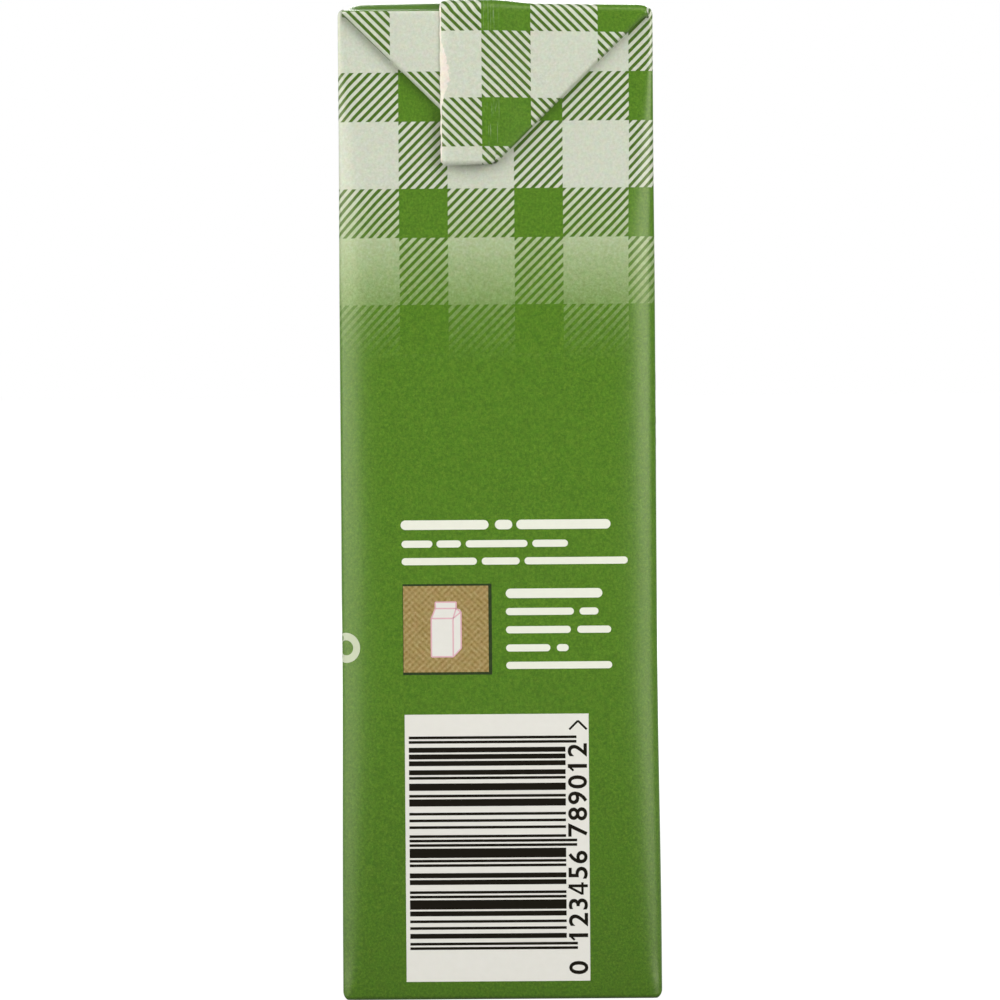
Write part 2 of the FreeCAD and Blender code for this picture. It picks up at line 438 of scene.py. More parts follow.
def build_sleeve():
    """The closed shell: rings from the foot's middle, round the foot's turn, up the walls, round the roof's
    turn and in over the roof to its middle, where the roof's rings are the topmost outline shrunk step by
    step. It comes with a mark on each face of the seam's cut edge."""
    s = sleeve_columns()
    level = np.zeros_like(s)
    narrow = np.abs(np.abs(s) - loop / 4) > half_panel
    to_crease = np.abs(np.abs(np.abs(s) - loop / 4) - half_panel)
    rim = foot_recess * smooth(np.where(narrow, -to_crease, to_crease) / rim_run + 0.2)
    inside = outline(s, level, level - roof_round)
    rings = [np.column_stack([inside * share, level + foot_recess]) for share in foot_ring_shares]
    turn = np.linspace(0, np.pi / 2, 7)
    for angle in np.concatenate([[turned_in], turn]):
        height = rim + foot_round * (1 - np.cos(max(angle, 0)))
        inset = foot_round * (1 - np.sin(angle))
        rings.append(np.column_stack([outline(s, height, swell(s, height) - inset), height]))
    for share in np.linspace(0, 1, wall_rings + 2)[1:-1]:
        height = rim + foot_round + (crease - roof_round - rim - foot_round) * share
        rings.append(np.column_stack([outline(s, height, swell(s, height)), height]))
    for angle in turn:
        height = level + crease - roof_round + roof_round * np.sin(angle)
        inset = roof_round * (1 - np.cos(angle))
        rings.append(np.column_stack([outline(s, height, swell(s, height) - inset), height]))
    for share in roof_ring_shares:
        x, y = (inside * share).T
        over = roof(x, y, smooth(x / 1.5 + 1)) + seal_rise(x) * smooth(x + 1)
        rings.append(np.column_stack([x, y, over]))
    points = np.array(rings)
    faces = grid_faces(len(rings), len(s), ring=True)
    at = points.reshape(-1, 3)[faces]
    round_place = np.broadcast_to(s, (len(rings), len(s))).ravel()[faces]
    wraps = (round_place[:, :1] > loop / 4) & (round_place < -loop / 4)
    round_place = np.where(wraps, round_place + loop, round_place)
    on_roof = (faces[:, 0] // len(s) >= len(rings) - len(roof_ring_shares))[:, None]
    right = at[..., 0].mean(1, keepdims=True) > 0
    over_roof = np.where(right, loop / 4 + roof_print_share * at[..., 1], -loop / 4 - at[..., 1])
    round_place = np.where(on_roof, over_roof, round_place)
    up = np.where(on_roof, half_side - np.abs(at[..., 0]), at[..., 2] - crease)
    sleeve = lay("sleeve", points, faces, np.stack([round_place, up], -1), [printed_board, cut_paper])
    middle_s = round_place.mean(1)
    in_step = (middle_s > seam_edge - seam_step) & (middle_s < seam_edge)
    return sleeve, in_step & ~on_roof[:, 0] & (at[..., 2].min(1) > cut_from)


sleeve, cut_faces = build_sleeve()
sleeve.data.polygons.foreach_set("material_index", cut_faces.astype(np.int32))
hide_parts("carton")


# ================ the ears of the roof
# The roof's corners are folded out into two flat triangular ears, creased, bent down over the narrow sides
# and stuck there, each two layers of board. The left half has a crisp crease, the right half a round bend.

ear_half = half_side - 0.7
ear_tip = crease - ear_half - 0.2
ear_root = 2.6
ear_fold = 0.4
ear_back = 0.12
bend_radius = (0.42, 1.02)
ear_under = 0.06
ear_over = 0.03
puff = 0.16
puff_reach = 2.2
sunk_in_wall = 0.15
sunk_in_roof = 0.4
print_shift = (-0.15, -0.5)
print_depth = 0.25


def ear_path(x, step, right):
    """Path of an ear's outer face from the roof to its tip, for step 0 to 1 along the roof, 1 to 2 round
    the bend and 2 to 3 down the side. Gives how far out it lies, its height, and the two parts of its
    normal. The face puffs out by an exponential of the distance to the slanting folds."""
    radius = by_half(bend_radius, right)
    bend = half_panel + ear_board - radius
    start = half_panel - ear_root
    along = np.clip(step, 0, 1)
    angle = np.clip(step - 1, 0, 1) * np.pi / 2
    down = np.clip(step - 2, 0, 1)
    to_fold = np.maximum(ear_half * (1 - down) - np.abs(x), 0) / np.sqrt(2)
    puffed = puff * (1 - np.exp(-to_fold / puff_reach)) * np.clip(step - 1.6, 0, 1)
    rise = puffed + seal_rise(x) * smooth(x * 2 + 1)
    top = roof(x, bend, right) + ear_over
    lifting = (ear_under + ear_over) * smooth(along * 4)
    on_top = roof(x, start + (bend - start) * along, right) - ear_under + lifting
    out = np.where(step <= 1, start + (bend - start) * along, bend + radius * np.sin(angle))
    side = top - radius * (1 - np.cos(angle)) - (top - radius - ear_tip) * down
    height = np.where(step <= 1, on_top, side)
    return out + rise * np.sin(angle), height + rise * np.cos(angle), np.sin(angle), np.cos(angle)


def along_sheet(steps, step, right, out, fallen):
    """How far along the sheet a path lies from its crease: as far as it has fallen below the bend, and
    before that back by the bend's arc and the level run."""
    arc = by_half(bend_radius, right) * (1 - np.clip(step - 1, 0, 1)) * np.pi / 2
    level = np.where(step <= 1, out - out[np.argmax(steps == 1)], 0)
    return np.where(step >= 2, fallen, fallen[np.argmax(steps == 2)] - arc + level)


def shell(name, front, back, sheet, materials):
    """A closed piece from an outer and an inner grid of points, joined round their rim. Sheet gives the
    places on the printed sheet for the grid's corner numbers."""
    rows, columns = front.shape[:2]
    outer = grid_faces(rows, columns)
    inner = outer[:, ::-1] + rows * columns
    number = np.arange(rows * columns).reshape(rows, columns)
    rim = np.concatenate([number[0], number[1:, -1], number[-1, -2::-1], number[-2:0:-1, 0]])
    after = np.roll(rim, -1)
    sides = np.stack([rim, rim + rows * columns, after + rows * columns, after], 1)
    faces = np.concatenate([outer, inner, sides])
    points = np.concatenate([front.reshape(-1, 3), back.reshape(-1, 3)])
    return lay(name, points, faces, sheet(faces % (rows * columns)), materials)


def rounded(to_fold):
    """How far a face falls back at a fold, as a share of its board: a quarter circle of the distance."""
    return 1 - np.sqrt(1 - (1 - np.clip(to_fold / ear_fold, 0, 1)) ** 2)


def build_ear(name, end):
    """One ear, on the narrow side that faces the end's way along Y. Its slanting folds are rounded by a
    quarter circle."""
    steps = np.concatenate([np.linspace(0, 1, 6), np.linspace(1, 2, 8)[1:], np.linspace(2, 3, 44)[1:]])
    close = 1 - np.array([0, 0.002, 0.006, 0.012, 0.02, 0.03, 0.045, 0.07])
    share = np.concatenate([-close, np.linspace(-0.9, 0.9, 64), close[::-1]])
    step, share = np.meshgrid(steps, end * share, indexing="ij")
    half = ear_half * (1 - np.clip(step - 2, 0, 1))
    x = half * share
    right = smooth((x + 1.0) / 1.4)
    out, height, outward = ear_path(x, step, right)[:3]
    fallen_back = rounded(half * (1 - np.abs(share)) / np.where(step > 2, np.sqrt(2), 1))
    out = out - outward * np.where(step > 1, ear_board * fallen_back, 0)
    height = height - np.where(step <= 2, 0.25 * fallen_back, 0)
    front = np.stack([x, end * out, height], -1)
    back_out = np.minimum(out - ear_back, half_panel - sunk_in_wall)
    back_height = np.where(step <= 2, np.minimum(height - ear_back, crease - sunk_in_roof), height)
    back = np.stack([x, end * back_out, back_height], -1)
    fallen = roof(x, half_panel - bend_done, right) - height - print_depth * right
    depth = along_sheet(steps, step, right, out, fallen)
    number = np.arange(x.size).reshape(x.shape)[::-1].ravel()

    def sheet(corners):
        """An ear is a corner of the sheet turned a quarter: depth below the crease counts along the sheet
        from the upright corner, and distance from that corner counts up it. The grid's rows lie turned
        over."""
        corners = number[corners]
        left = (x.ravel()[corners].mean(1) < 0)[:, None]
        shift = np.where(left, print_shift[0], print_shift[1])
        from_corner = half_side - np.abs(x.ravel()[corners]) + shift
        nearest_crease = half_side if end < 0 else half_side + 2 * half_panel
        along = nearest_crease + end * depth.ravel()[corners]
        return np.stack([np.where(left, -along, along), from_corner], -1)

    return shell(name, front[::-1], back[::-1], sheet, [printed_board])


ear_near = build_ear("ear_near", -1)
ear_far = build_ear("ear_far", 1)
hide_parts("carton")
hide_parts("carton")


# ================ the seal fin of the roof
# Both layers of the sleeve are welded flat along the roof and cut off square. The fin is folded down to the
# left and runs from one ear's tip over the roof to the other's. Its long edge is raw: the paper core shows
# there, and a little of the print has torn off with it.

fin_root = 0.9
fin_width = 6.95
fin_end = ear_tip - 0.25
fin_top = half_side + fin_width - 0.5
fin_under = 0.06
raw_drop = 0.3
raw_run = 1.05
flutter_height = 0.05
spring_height = 0.06
worn_height = 0.5
narrow_from = -0.8
narrow_least = 0.15
print_beyond = 0.39


def build_fin():
    """The fin follows the right half's path from tip to tip. Across, it leaves the surface at its fold,
    lies flat with a slight flutter, a sine of the height, and slopes down by a power of 1.5 to the raw
    edge, which two sines make ragged. Its end is worn off at the corner by a square law, and it narrows
    with the ear's tip."""
    steps = np.concatenate([[0.5, 0.8, 1.0], np.linspace(1, 2, 9)[1:], np.linspace(2, 3, 40)[1:]])
    fold_columns = [fin_root, 0.7, 0.5, 0.25, 0.0, -0.3, -0.7, -1.6, -2.6, -3.8, -5]
    edge_columns = [-6, -6.5, -6.68, -6.8, -6.9, -fin_width]
    step, x = np.meshgrid(steps, fold_columns + edge_columns, indexing="ij")
    out, height, outward, upward = ear_path(np.maximum(x, fin_root), step, np.ones_like(x))
    climb = seal_rise(x) - seal_rise(fin_root) - 0.05 * smooth((x - 0.3) / 0.5) + 0.02
    raw_slope = raw_drop * np.clip((raw_run - fin_width - x) / raw_run, 0, 1) ** 1.5
    flutter = flutter_height * np.sin(height / 2.3) * smooth((-1 - x) / 5) * (step > 2)
    spring = spring_height * smooth((step - 2.1) / 0.9) * smooth((0.5 - x) / 2)
    climb = climb - raw_slope + flutter + spring
    ragged = 0.035 * np.sin(height * 2.1) + 0.03 * np.sin(height * 5.3 + 1)
    x = x + ragged * smooth((-6.0 - x) / 0.9)
    worn_corner = worn_height * smooth((-6.2 - x) / 0.75) ** 2 + 0.12 * np.sin((x + 5) / 2.4)
    height = np.where(step >= 3, fin_end + worn_corner, height)
    narrowing = np.clip((height - ear_tip + 0.3) / 1.6, narrow_least, 1)
    x = np.where(x > narrow_from, narrow_from + (x - narrow_from) * narrowing, x)
    thick = fin_board * smooth((1.1 - x) / 1.1) + fin_under
    near = np.stack([x, -(out + climb * outward), height + climb * upward], -1)
    near_under = np.stack([x, -(out + (climb - thick) * outward), height + (climb - thick) * upward], -1)
    y = np.linspace(-1, 1, 26)[1:-1, None] * -near[0:1, :, 1]
    x_over = np.broadcast_to(x[0], y.shape)
    flat = seal_rise(fin_root) + climb[0]
    over = np.stack([x_over, y, roof(np.maximum(x_over, fin_root), y, np.ones_like(y)) + flat], -1)
    over_under = over - np.stack([0 * y, 0 * y, 0 * y + thick[0]], -1)
    mirror = np.array([1, -1, 1])
    front = np.concatenate([near[::-1], over, near * mirror])
    under = np.concatenate([near_under[::-1], over_under, near_under * mirror])
    fallen = crease + print_beyond - near[..., 2]
    from_end = half_side - along_sheet(steps, step, np.ones_like(x), out, fallen)
    inner = loop / 4 + y * (loop / 4 - from_end[0]) / -near[0, :, 1]
    place = np.concatenate([from_end[::-1], inner, loop / 2 - from_end])
    up = half_side - front[..., 0] + print_shift[1]
    sheet = np.stack([place, up], -1)[:, ::-1].reshape(-1, 2)
    materials = [filmed("torn_board", torn_checks)]
    return shell("roof_fin", front[:, ::-1], under[:, ::-1], lambda corners: sheet[corners], materials)


torn_middle = 8.6
torn_slope = -0.24
torn_reach = 2.3
frayed_reach = 0.3
scratch_reach = 1.0
scratch_strength = 0.18
scratch_share = 0.62


def torn_checks(tree):
    """The gingham, with bare paper along the raw edge and in a torn patch on the near ear, as far in as a
    frayed noise reaches, and fine scratches through the ink along the fold, where a stretched noise is high
    enough."""
    sheet, across, up = on_sheet(tree)
    frayed = noise(sheet, 1.6, 5.0, 0.7)[0]
    from_corner = sums("SUBTRACT", half_side, across)
    from_middle = sums("ABSOLUTE", sums("SUBTRACT", from_corner, torn_middle))
    patch = held(sums("MULTIPLY_ADD", from_middle, torn_slope, 1.0))
    reach = sums("MULTIPLY_ADD", frayed, frayed_reach, 0.02)
    torn = sums("MULTIPLY", patch, sums("MULTIPLY", frayed, torn_reach))
    bare = sums("GREATER_THAN", sums("ADD", reach, torn), sums("SUBTRACT", fin_top, up))
    fibre = noise(sheet, 2.2, 4.0)[0]
    pulp = blended(fibre, ink(232, 228, 216), ink(218, 203, 190))
    stretched = vector_sums("MULTIPLY", sheet, (0.35, 9.0, 1.0))[0]
    streaks = noise(stretched, 1.0, 2.0)[0]
    from_fold = sums("ABSOLUTE", sums("SUBTRACT", up, half_side))
    scratched = sums("MULTIPLY", sums("LESS_THAN", from_fold, scratch_reach), scratch_strength)
    streaked = sums("GREATER_THAN", streaks, scratch_share)
    worn = blended(sums("MULTIPLY", scratched, streaked), checks(tree), check_pale)
    return blended(bare, worn, pulp)


roof_fin = build_fin()
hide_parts("carton")


# ================ the foot
# The sheet is closed under the carton as it is above. Two three-cornered ears, each two layers of board,
# are folded in under the foot and stuck there, and the carton stands on them. The foot's seal fin lies flat
# between them.

foot_tip = half_panel - half_side
foot_root = half_panel - 0.4
foot_fold_rise = 0.35
foot_hollow = 0.12
foot_sunk = 0.05
foot_fin_half = 17.5
foot_fin_middle = 3.45
foot_fin_print = 10.0


def build_foot_ear(name, end):
    """One ear under the foot. Its width falls in step with the depth, its edges are rounded by a quarter
    circle, and it is hollow by half a sine along it and a parabola across it."""
    depth = np.linspace(foot_tip + 0.05, foot_root, 30)[:: -end]
    close = 1 - np.array([0, 0.004, 0.012, 0.022, 0.035, 0.06])
    share = np.concatenate([-close, np.linspace(-0.9, 0.9, 30), close[::-1]])
    depth, share = np.meshgrid(depth, share, indexing="ij")
    half = np.minimum(depth - foot_tip, ear_half)
    fallen_back = rounded(half * (1 - np.abs(share)) / np.sqrt(2))
    hollow = foot_hollow * np.sin(np.pi * (depth - foot_tip) / half_side) * (1 - share**2)
    low = foot_fold_rise * fallen_back + hollow
    under = np.stack([half * share, end * depth, low], -1)
    inner = np.stack([half * share, end * depth, foot_recess + foot_sunk + 0 * low], -1)
    place = np.stack([half * share, depth - half_panel - crease], -1).reshape(-1, 2)
    return shell(name, under, inner, lambda corners: place[corners], [printed_board])


def build_foot_fin():
    """The foot's fin: level, its long edges curling up by an eighth power, with a slow wave along it."""
    across = [-6.9, -6.8, -6.5, -5, -3.5, -2, -0.6, -0.2, 0]
    x, y = np.meshgrid(across, np.linspace(foot_fin_half, -foot_fin_half, 40))
    curl = 0.1 * ((x + foot_fin_middle) / foot_fin_middle) ** 8
    low = foot_recess - fin_board + curl + 0.04 * np.sin(y / 3)
    under = np.stack([x, y, low], -1)
    inner = np.stack([x, y, foot_recess + foot_sunk + 0 * low], -1)
    place = np.stack([y, x - crease - foot_fin_print], -1).reshape(-1, 2)
    return shell("foot_fin", under, inner, lambda corners: place[corners], [printed_board])


build_foot_ear("foot_ear_near", -1)
build_foot_ear("foot_ear_far", 1)
build_foot_fin()


# ================ print on the near narrow side
# Cream, tan and white ink printed over the green with the checks: rows of words, a tan square with a small
# picture of a plain carton, and a white field with a bar code. Each word is left as a short plain bar, and
# the numbers are counting numbers.


def film(name, patches, material):
    """One thin film of ink made of patches: places round the sheet, heights and a lift, with the patch's
    own faces where it isn't a grid."""
    points, faces, sheet, count = [], [], [], 0
    for s, height, lift, *own in patches:
        s, height = np.broadcast_arrays(s, height)
        points.append(wall(s, height, lift).reshape(-1, 3))
        faces.append((own[0] if own else grid_faces(*s.shape)) + count)
        sheet.append(np.stack([s.ravel(), height.ravel() - crease], -1))
        count += s.size
    faces = np.concatenate(faces)
    return lay(name, np.concatenate(points), faces, np.concatenate(sheet)[faces], [material])


def field(left, right, low, high, lift):
    """An upright oblong, close enough in its steps to follow the walls."""
    across = np.linspace(left, right, int((right - left) / 1.2) + 2)
    up = np.linspace(low, high, int((high - low) / 1.2) + 2)
    return *np.meshgrid(across, up), lift


def word(left, right, middle, tall, lift=0.022):
    """A level bar with round ends: near each end its half height is that of a circle."""
    round_end = tall / 2 * (1 - np.cos(np.linspace(0, np.pi / 2, 6)))
    between = np.linspace(left + tall / 2, right - tall / 2, int((right - left) / 1.2) + 3)
    across = np.concatenate([left + round_end, between[1:-1], right - round_end[::-1]])
    from_end = np.minimum(np.minimum(across - left, right - across), tall / 2)
    half = np.sqrt(np.maximum((tall / 2) ** 2 - (tall / 2 - from_end) ** 2, 0))
    return across + np.zeros((3, 1)), middle + half * np.array([[-1], [0], [1]]), lift


def words(middle, rows):
    """Rows of words: each row's height, how tall its words are, and their ends from the panel's middle."""
    return [word(middle + left, middle + right, up, tall) for up, tall, ends in rows for left, right in ends]


def disc(across, up, inner, outer, lift):
    """A disc or a ring, as a polar grid whose first column lies on the inner circle."""
    angle = np.linspace(0, 2 * np.pi, 49)[:, None]
    reach = np.linspace(inner, outer, int((outer - inner) / 1.5) + 2)
    return across + reach * np.cos(angle), up + reach * np.sin(angle), lift


def stroke(start, end, width, lift):
    """A straight line of the given width between two places, with its long edges square to its way."""
    start, end = np.array(start, float), np.array(end, float)
    aside = np.array([start[1] - end[1], end[0] - start[0]]) / np.hypot(*(end - start)) * width / 2
    along = np.linspace(0, 1, int(np.hypot(*(end - start)) / 1.2) + 2)[:, None]
    line = start + (end - start) * along
    both = np.stack([line - aside, line + aside])
    return both[..., 0], both[..., 1], lift


def slab(corners, lift):
    """A four-cornered patch, blended between its corners, which run from the lower left one round against
    the clock."""
    a, b, c, d = np.array(corners, float)
    across, up = np.meshgrid(np.linspace(0, 1, 4), np.linspace(0, 1, 6))
    across, up = across[..., None], up[..., None]
    place = (1 - up) * ((1 - across) * a + across * b) + up * ((1 - across) * d + across * c)
    return place[..., 0], place[..., 1], lift


def one_ink(red, green, blue):
    """A paint of one ink that lies a little thinner in some places than in others."""

    def paint(tree):
        """The ink, blended with a slightly darker one by soft clouds."""
        clouds = noise(on_sheet(tree)[0], 0.9, 4.0)[0]
        return blended(clouds, ink(red, green, blue), ink(red - 6, green - 6, blue - 7))

    return paint


weave_turns = 7.6


def woven(tree):
    """Tan with a fine slanting weave: two sets of waves that cross, one stronger than the other from place
    to place."""
    sheet, across, up = on_sheet(tree)
    rising = sums("SINE", sums("MULTIPLY", sums("ADD", across, up), weave_turns))
    falling = sums("SINE", sums("MULTIPLY", sums("SUBTRACT", across, up), weave_turns))
    uneven = noise(sheet, 0.55, 2.0)[0]
    leaning = held(sums("MULTIPLY_ADD", uneven, 2.4, -0.7), 0.1, 0.9)
    crossed = sums("MULTIPLY", sums("SUBTRACT", rising, falling), leaning)
    wave = sums("MULTIPLY_ADD", sums("ADD", falling, crossed), 0.36, 0.5)
    return blended(wave, ink(131, 108, 55), ink(177, 155, 102))


cream_ink = filmed("cream_ink", one_ink(238, 239, 224), grain=0.02)
shade_ink = filmed("shade_ink", one_ink(20, 44, 8))
woven_tan = filmed("woven_tan", woven)
pink_ink = filmed("pink_ink", one_ink(228, 180, 190), grain=0.03)
white_ink = filmed("white_ink", one_ink(233, 231, 223), grain=0.015)
bar_ink = filmed("bar_ink", one_ink(15, 10, 8), grain=0.03, gloss=0.2)

bold = 1.2
plain = 0.9
near_rows = [
    (60.1, bold, [(-12.4, -1.3), (-0.5, 1.7), (2.2, 14.1)]),
    (57.7, plain, [(-12.3, -8.4), (-7.9, -4.8), (-4.2, 3.6), (4.2, 8.7)]),
    (55.5, plain, [(-12.3, -2.8), (-2.2, 2.6), (3.2, 16.4)]),
    (51.4, bold, [(0.8, 13.0)]),
    (49.1, plain, [(0.8, 9.4), (10.1, 12.5)]),
    (46.8, plain, [(0.8, 9.0), (9.8, 14.1)]),
    (44.5, plain, [(0.8, 6.4), (7.2, 8.7)]),
    (42.3, plain, [(0.8, 14.2)]),
]
film("near_words", words(0.0, near_rows), cream_ink)

film("square_shade", [field(-12.22, -0.98, 41.16, 52.66, lift=0.01)], shade_ink)
film("square", [field(-12.15, -1.4, 41.5, 52.4, lift=0.018)], woven_tan)

# The small carton stands on the square: its front and its side, the slope of its roof, and its fin.
carton_left = -8.62
front_right = carton_left + 2.75
side_right = carton_left + 3.75
ridge_left = carton_left + 0.52
ridge_right = carton_left + 3.15
carton_low = 43.45
carton_eaves = 48.3
side_eaves = 49.1
carton_ridge = 49.55
carton_top = 50.35

low_left = (carton_left, carton_low)
low_right = (front_right, carton_low)
low_back = (side_right, carton_low + 1.05)
eaves_left = (carton_left, carton_eaves)
eaves_right = (front_right, carton_eaves)
eaves_back = (side_right, side_eaves)
slope_left = (ridge_left, carton_ridge)
slope_right = (ridge_right, carton_ridge)
top_left = (ridge_left, carton_top)
top_right = (ridge_right, carton_top)
carton_faces = [
    [low_left, low_right, eaves_right, eaves_left],
    [low_right, low_back, eaves_back, eaves_right],
    [eaves_left, eaves_right, slope_right, slope_left],
    [eaves_right, eaves_back, (side_right - 0.1, side_eaves + 0.3), slope_right],
    [slope_left, slope_right, top_right, top_left],
]
film("small_carton", [slab(corners, lift=0.026) for corners in carton_faces], white_ink)
carton_edges = [
    (low_left, low_right), (low_right, low_back), (low_back, eaves_back), (low_left, eaves_left),
    (low_right, eaves_right), (eaves_left, eaves_right), (eaves_right, eaves_back), (eaves_left, slope_left),
    (eaves_right, slope_right), (eaves_back, slope_right), (slope_left, slope_right), (slope_left, top_left),
    (slope_right, top_right), (top_left, top_right),
]
film("small_carton_edges", [stroke(start, end, 0.17, lift=0.032) for start, end in carton_edges], pink_ink)

film("bar_code_field", [field(-12.08, 11.15, 2.33, 36.15, lift=0.012)], white_ink)

# Each digit of the bar code is seven modules, dark where its code has a 1. The right half's codes are
# turned over, and three guards stand at the ends and in the middle.
module = 0.2838
first_module = 6.4
bar_left = -11.58
bar_right = 8.2
guard_right = 9.6
spread = 0.03
bar_lift = 0.02
digit_codes = ["0001101", "0011001", "0010011", "0111101", "0100011"]
digit_codes += ["0110001", "0101111", "0111011", "0110111", "0001011"]
left_half = "".join(digit_codes[digit] for digit in (1, 2, 3, 4, 5, 6))
right_half = "".join(digit_codes[digit] for digit in (7, 8, 9, 0, 1, 2)).translate(str.maketrans("01", "10"))
modules = np.array([int(mark) for mark in "101" + left_half + "01010" + right_half + "101"])
edges = np.flatnonzero(np.diff(np.concatenate([[0], modules, [0]])))
bars = []
for start, end in edges.reshape(-1, 2).tolist():
    guard = start < 3 or 44 < start < 50 or start > 91
    low = first_module + module * start - spread
    high = first_module + module * end + spread
    bars.append(field(bar_left, guard_right if guard else bar_right, low, high, bar_lift))

thin_line = 0.27
arrow_tip = (9.8, 35.25)
bars.append(stroke((8.7, 34.15), arrow_tip, thin_line, bar_lift))
bars.append(stroke(arrow_tip, (10.9, 34.15), thin_line, bar_lift))
film("bars", bars, bar_ink)

digit_foot = 10.9
digit_tall = 2.42
digit_head = digit_foot - digit_tall
digit_wider = 1.08
digit_heavier = 0.016


def printed_digit(digit, middle):
    """A patch with the outline of one digit, lying on its side so that it reads upward."""
    curve = bpy.data.curves.new("digit", "FONT")
    curve.body = digit
    curve.resolution_u = 4
    curve.offset = digit_heavier
    shape = bpy.data.objects.new("digit", curve)
    mesh = bpy.data.meshes.new_from_object(shape)
    mesh.calc_loop_triangles()
    corners = np.zeros(len(mesh.vertices) * 3)
    mesh.vertices.foreach_get("co", corners)
    triangles = np.zeros(len(mesh.loop_triangles) * 3, int)
    mesh.loop_triangles.foreach_get("vertices", triangles)
    corners = corners.reshape(-1, 3)[:, :2]
    low, high = corners.min(0), corners.max(0)
    scale = digit_tall / (high[1] - low[1])
    reading = (corners - [(low[0] + high[0]) / 2, low[1]]) * scale * [digit_wider, 1]
    bpy.data.objects.remove(shape)
    bpy.data.curves.remove(curve)
    bpy.data.meshes.remove(mesh)
    return digit_foot - reading[:, 1], middle + reading[:, 0], bar_lift, triangles.reshape(-1, 3)


def four(middle):
    """The digit 4 as three strokes: its stem, its slant and its cross bar."""
    crossing = digit_foot - 0.28 * digit_tall
    stem = middle + 0.32
    return [
        stroke((digit_head, stem), (digit_foot, stem), 0.36, bar_lift),
        stroke((digit_head, stem - 0.1), (crossing, middle - 0.72), 0.3, bar_lift),
        stroke((crossing, middle - 0.8), (crossing, middle + 0.76), 0.3, bar_lift),
    ]


digits, strokes = [], []
left_digits = [8.1 + 1.98 * place for place in range(6)]
right_digits = [21.45 + 2.02 * place for place in range(6)]
for digit, middle in zip("0123456789012", [4.0] + left_digits + right_digits):
    if digit == "4":
        strokes += four(middle)
        continue
    if digit == "1":
        flag_start = (digit_head + 0.1, middle)
        strokes.append(stroke(flag_start, (digit_head + 0.72, middle - 0.6), thin_line, bar_lift))
    digits.append(printed_digit(digit, middle))
film("digit_strokes", strokes, bar_ink)
film("digits", digits, bar_ink)


# ================ print on the other sides
# The same inks on the panels that are not seen from the near side. The front has a row of rings, a bowl and
# bars for its title. The back has a list and a table, the far narrow side a few rows of words.

front_middle = -loop / 4
bowl_middle = 74.0
ring_pitch = half_panel / 8
first_ring = -19.8
rings_up = 44.6
badge_across = front_middle + 18.5
badge_up = 20.5
herb_turn = 2.4
ring_ink = filmed("ring_ink", one_ink(198, 206, 178), grain=0.03)
sauce_ink = filmed("sauce_ink", one_ink(226, 208, 158))
herb_ink = filmed("herb_ink", one_ink(62, 96, 30))
rings = [disc(first_ring - ring_pitch * place, rings_up, 0.95, 1.9, lift=0.02) for place in range(17)]
film("ring_row", rings, ring_ink)
film("plate", [disc(front_middle, bowl_middle, 0, 19.0, lift=0.012)], white_ink)
film("plate_rim", [disc(front_middle, bowl_middle, 15.6, 16.0, lift=0.018)], ring_ink)
film("sauce", [disc(front_middle, bowl_middle, 0, 13.6, lift=0.02)], sauce_ink)

# The herbs lie on a spiral, each turned by the same angle from the last and a little farther out.
herbs = []
for place in range(15):
    turn = herb_turn * place
    reach = 2.2 + 0.68 * place
    herb_across = front_middle + reach * np.cos(turn)
    herb_up = bowl_middle + reach * np.sin(turn)
    herbs.append(disc(herb_across, herb_up, 0, 0.42 + 0.2 * np.sin(turn * 3), lift=0.028))
film("herbs", herbs, herb_ink)
front_rows = [
    (103.5, 5.2, [(-22, 22)]),
    (96.6, 3.0, [(-15, 15)]),
    (36.4, 2.0, [(-24, -2), (1, 24)]),
    (32.6, 1.4, [(-20, 4), (6, 20)]),
    (10.2, 1.4, [(-24, -11), (14, 24)]),
]
film("front_words", words(front_middle, front_rows), cream_ink)
film("front_badge", [disc(badge_across, badge_up, 0, 6.2, lift=0.012)], sauce_ink)
film("front_badge_rim", [disc(badge_across, badge_up, 5.0, 5.35, lift=0.02)], herb_ink)

back_left = loop / 4 - 26.5
back_top = 73.0
back_pitch = 2.7
word_gap = 0.8


def two_words(left, parting, right, middle):
    """A row of two words with a small gap after the parting."""
    return [word(left, parting, middle, plain), word(parting + word_gap, right, middle, plain)]


row_ends = [39, 33, 41, 36, 29, 40, 38, 41, 32, 39, 24]
back_words = [word(back_left, back_left + 29, 78.0, 2.4)]
for row, end in enumerate(row_ends):
    back_words += two_words(back_left, back_left + end * 0.44, back_left + end, back_top - back_pitch * row)
film("back_words", back_words, cream_ink)

table_lift = 0.024
table_top = 33.2
table_pitch = 3.1
table_start = back_left + 1
table_end = back_left + 40
film("table_field", [field(back_left, back_left + 41, 8.0, 39.0, lift=0.014)], white_ink)
table = [stroke((table_start, 35.8), (table_end, 35.8), 0.35, table_lift)]
for row in range(8):
    middle = table_top - table_pitch * row
    under = middle - table_pitch / 2
    table.append(word(back_left + 1.5, back_left + 20 - row * 7 % 11, middle, 1.0, table_lift))
    table.append(word(back_left + 33 - row * 5 % 4, back_left + 39.5, middle, 1.0, table_lift))
    table.append(stroke((table_start, under), (table_end, under), 0.12, table_lift))
film("table_rows", table, herb_ink)

